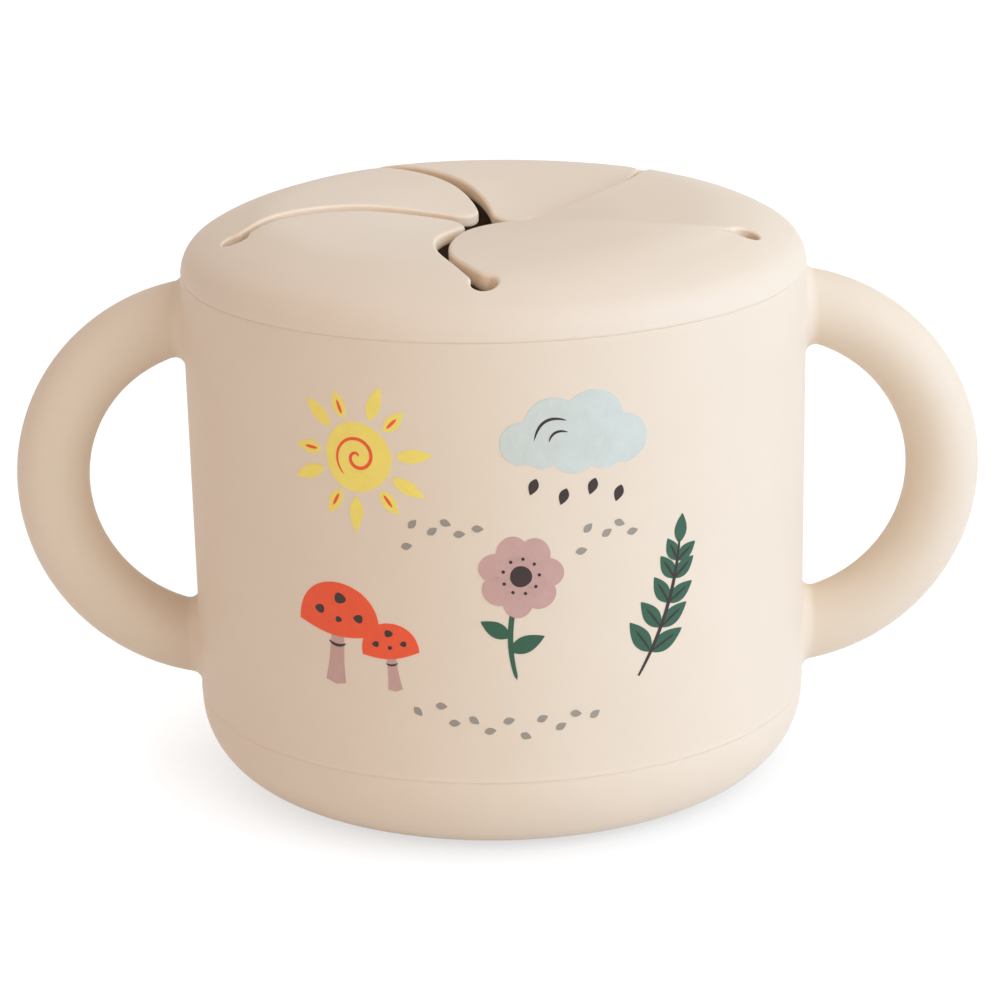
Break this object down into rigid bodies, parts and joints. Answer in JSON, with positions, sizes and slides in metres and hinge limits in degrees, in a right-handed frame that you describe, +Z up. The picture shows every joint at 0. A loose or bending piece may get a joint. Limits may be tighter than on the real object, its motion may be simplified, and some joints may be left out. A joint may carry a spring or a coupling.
{
  "type": "toddler snack container",
  "caption": "Round soft snack cup with two ring handles and a press-on lid whose domed top is cut into swirling flaps that bend to let a small hand in.",
  "frame": {"origin": "middle of the flat foot, on the surface the cup stands on", "axes": "+X runs through both handles, -Y is the front, +Z is up"},
  "size_m": [0.141, 0.09, 0.0829],
  "materials": {
    "cup_silicone": "matte",
    "lid_silicone": "matte"
  },
  "bodies": {
    "cup": {"cup_body": "cup_silicone", "cup_base": "cup_silicone", "handle_left": "cup_silicone", "handle_right": "cup_silicone"},
    "lid": {"lid_rim": "lid_silicone"},
    "flap_front_right": {"flap_front_right": "lid_silicone"},
    "flap_back_right": {"flap_back_right": "lid_silicone"},
    "flap_back": {"flap_back": "lid_silicone"},
    "flap_back_left": {"flap_back_left": "lid_silicone"},
    "flap_front_left": {"flap_front_left": "lid_silicone"}
  },
  "joints": [
    {"name": "lid_lift", "type": "slide", "parent": "cup", "child": "lid", "axis": [0, 0, 1], "range_m": [0, 0.045]},
    {"name": "flap_front_right_bend", "type": "hinge", "parent": "lid", "child": "flap_front_right", "pos_m": [0.01706, -0.02529, 0.08097], "axis": [-0.829, -0.5592, 0], "range_deg": [-45, 70], "stiffness_Nm_per_rad": 0.012},
    {"name": "flap_back_right_bend", "type": "hinge", "parent": "lid", "child": "flap_back_right", "pos_m": [0.02932, 0.00841, 0.08097], "axis": [0.2756, -0.9613, 0], "range_deg": [-45, 70], "stiffness_Nm_per_rad": 0.012},
    {"name": "flap_back_bend", "type": "hinge", "parent": "lid", "child": "flap_back", "pos_m": [0.00106, 0.03048, 0.08097], "axis": [0.9994, -0.0349, 0], "range_deg": [-45, 70], "stiffness_Nm_per_rad": 0.012},
    {"name": "flap_back_left_bend", "type": "hinge", "parent": "lid", "child": "flap_back_left", "pos_m": [-0.02866, 0.01043, 0.08097], "axis": [0.342, 0.9397, 0], "range_deg": [-45, 70], "stiffness_Nm_per_rad": 0.012},
    {"name": "flap_front_left_bend", "type": "hinge", "parent": "lid", "child": "flap_front_left", "pos_m": [-0.01878, -0.02403, 0.08097], "axis": [-0.788, 0.6157, 0], "range_deg": [-45, 70], "stiffness_Nm_per_rad": 0.012}
  ]
}
